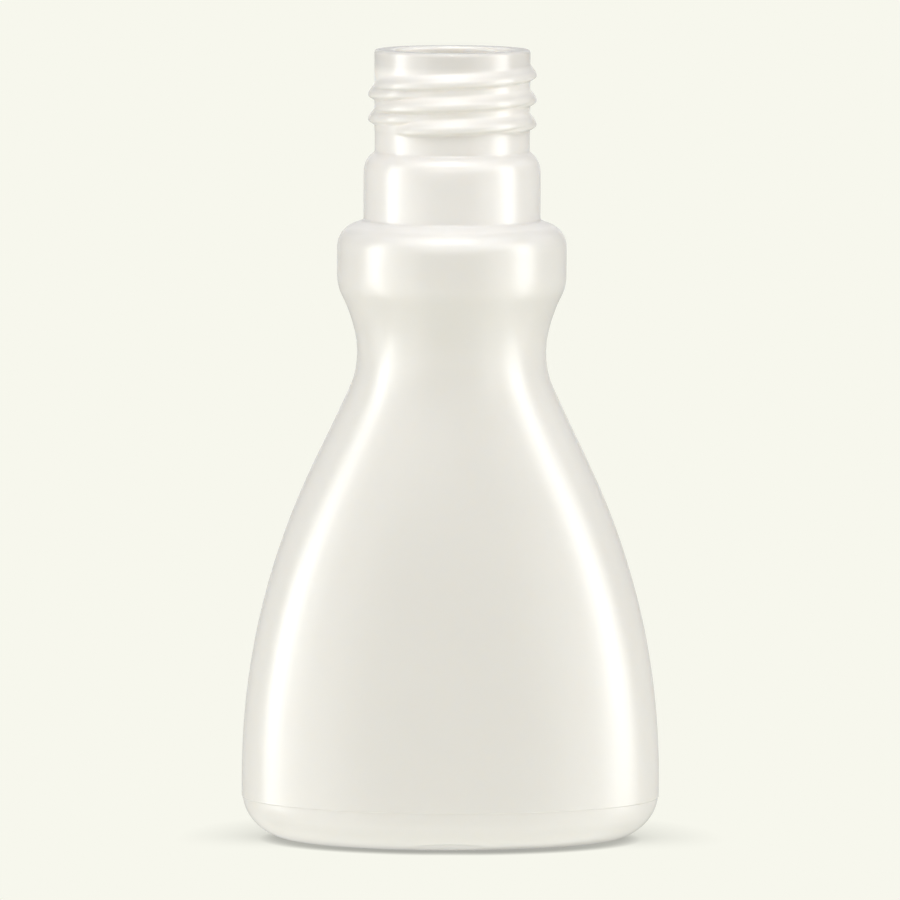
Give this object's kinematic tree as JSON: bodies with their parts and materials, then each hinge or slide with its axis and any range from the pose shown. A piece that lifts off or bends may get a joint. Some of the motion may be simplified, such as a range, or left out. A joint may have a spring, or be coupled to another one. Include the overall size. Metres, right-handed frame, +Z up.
{
  "type": "squeeze bottle with screw neck",
  "caption": "Empty oval flared plastic bottle with a waist, round collars and an open screw neck, for solvents such as acetone.",
  "frame": {"origin": "centre of the base, on the plane the bottle stands on", "axes": "+Z up through the open mouth, +X along the wide axis of the oval, -Y out of the front face"},
  "size_m": [0.0592, 0.0324, 0.1122],
  "materials": {
    "natural_polyethylene": "glossy milky translucent natural polyethylene, moulded surface"
  },
  "bodies": {
    "root": {"bottle": "natural_polyethylene"}
  },
  "joints": []
}
